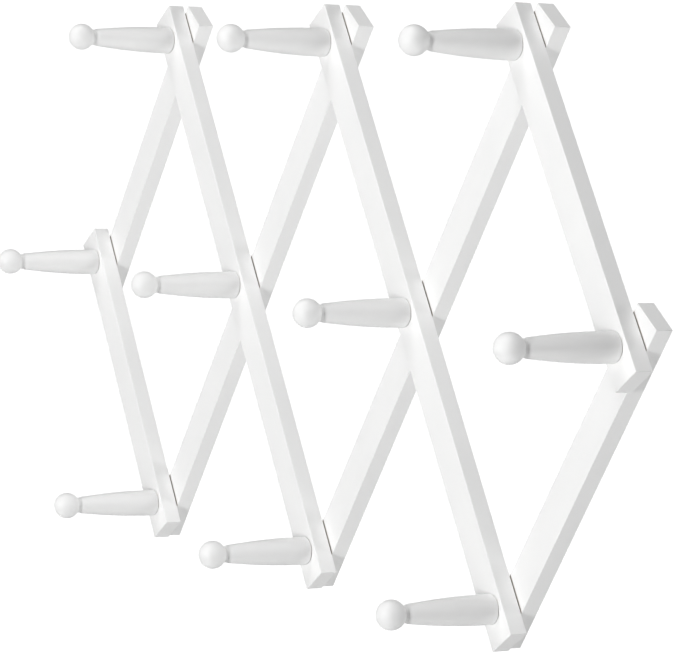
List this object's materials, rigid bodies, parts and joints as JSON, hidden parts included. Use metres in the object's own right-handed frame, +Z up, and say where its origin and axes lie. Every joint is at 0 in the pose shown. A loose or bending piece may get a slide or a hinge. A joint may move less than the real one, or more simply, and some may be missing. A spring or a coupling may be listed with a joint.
{
  "type": "accordion peg rack",
  "caption": "Wall-mounted folding lattice of painted wooden slats with a turned ball-ended peg at every crossing.",
  "frame": {"origin": "on the wall face of the long left back slat, midway between its upper and its middle pivot", "axes": "+X to the right along the wall, +Y into the wall, +Z up; the pegs point to -Y"},
  "size_m": [0.7836, 0.1064, 0.4031],
  "materials": {
    "painted_slat": "white satin paint on planed wood",
    "painted_peg": "white satin paint on turned wood",
    "zinc_plated_steel": "bright zinc plate"
  },
  "bodies": {
    "back_left_long": {"back_slat_left_long": "painted_slat"},
    "back_left_short": {"back_slat_left_short": "painted_slat"},
    "back_right_long": {"back_slat_right_long": "painted_slat"},
    "back_right_short": {"back_slat_right_short": "painted_slat"},
    "front_left_long": {"front_slat_left_long": "painted_slat", "peg_top_left": "painted_peg", "pivot_washer_top_left": "zinc_plated_steel", "pivot_screw_top_left": "zinc_plated_steel", "peg_middle_left": "painted_peg", "pivot_washer_middle_left": "zinc_plated_steel", "pivot_screw_middle_left": "zinc_plated_steel", "peg_bottom_middle": "painted_peg", "pivot_washer_bottom_middle": "zinc_plated_steel", "pivot_screw_bottom_middle": "zinc_plated_steel"},
    "front_right_long": {"front_slat_right_long": "painted_slat", "peg_top_middle": "painted_peg", "pivot_washer_top_middle": "zinc_plated_steel", "pivot_screw_top_middle": "zinc_plated_steel", "peg_middle_right": "painted_peg", "pivot_washer_middle_right": "zinc_plated_steel", "pivot_screw_middle_right": "zinc_plated_steel", "peg_bottom_right": "painted_peg", "pivot_washer_bottom_right": "zinc_plated_steel", "pivot_screw_bottom_right": "zinc_plated_steel"},
    "front_left_short": {"front_slat_left_short": "painted_slat", "peg_middle_far_left": "painted_peg", "pivot_washer_middle_far_left": "zinc_plated_steel", "pivot_screw_middle_far_left": "zinc_plated_steel", "peg_bottom_left": "painted_peg", "pivot_washer_bottom_left": "zinc_plated_steel", "pivot_screw_bottom_left": "zinc_plated_steel"},
    "front_right_short": {"front_slat_right_short": "painted_slat", "peg_top_right": "painted_peg", "pivot_washer_top_right": "zinc_plated_steel", "pivot_screw_top_right": "zinc_plated_steel", "peg_middle_far_right": "painted_peg", "pivot_washer_middle_far_right": "zinc_plated_steel", "pivot_screw_middle_far_right": "zinc_plated_steel"}
  },
  "joints": [
    {"name": "fold", "type": "hinge", "parent": "back_left_long", "child": "front_left_long", "pos_m": [-0.06137, 0, -0.08765], "axis": [0, -1, 0], "range_deg": [-63, 103]},
    {"name": "top_middle_pivot", "type": "hinge", "parent": "back_left_long", "child": "front_right_long", "pos_m": [0.06137, 0, 0.08765], "axis": [0, -1, 0], "range_deg": [-63, 103]},
    {"name": "bottom_left_pivot", "type": "hinge", "parent": "back_left_long", "child": "front_left_short", "pos_m": [-0.18412, 0, -0.26295], "axis": [0, -1, 0], "range_deg": [-63, 103]},
    {"name": "top_left_pivot", "type": "hinge", "parent": "front_left_long", "child": "back_left_short", "pos_m": [-0.18412, 0, 0.08765], "axis": [0, -1, 0], "range_deg": [-103, 63]},
    {"name": "bottom_middle_pivot", "type": "hinge", "parent": "front_left_long", "child": "back_right_long", "pos_m": [0.06137, 0, -0.26295], "axis": [0, -1, 0], "range_deg": [-103, 63]},
    {"name": "bottom_right_pivot", "type": "hinge", "parent": "front_right_long", "child": "back_right_short", "pos_m": [0.30686, 0, -0.26295], "axis": [0, -1, 0], "range_deg": [-103, 63]},
    {"name": "top_right_pivot", "type": "hinge", "parent": "back_right_long", "child": "front_right_short", "pos_m": [0.30686, 0, 0.08765], "axis": [0, -1, 0], "range_deg": [-63, 103]}
  ],
  "couplings": [
    {"joint": "top_middle_pivot", "follows": "fold", "ratio": 1},
    {"joint": "bottom_left_pivot", "follows": "fold", "ratio": 1},
    {"joint": "top_left_pivot", "follows": "fold", "ratio": -1},
    {"joint": "bottom_middle_pivot", "follows": "fold", "ratio": -1},
    {"joint": "bottom_right_pivot", "follows": "fold", "ratio": -1},
    {"joint": "top_right_pivot", "follows": "fold", "ratio": 1}
  ]
}
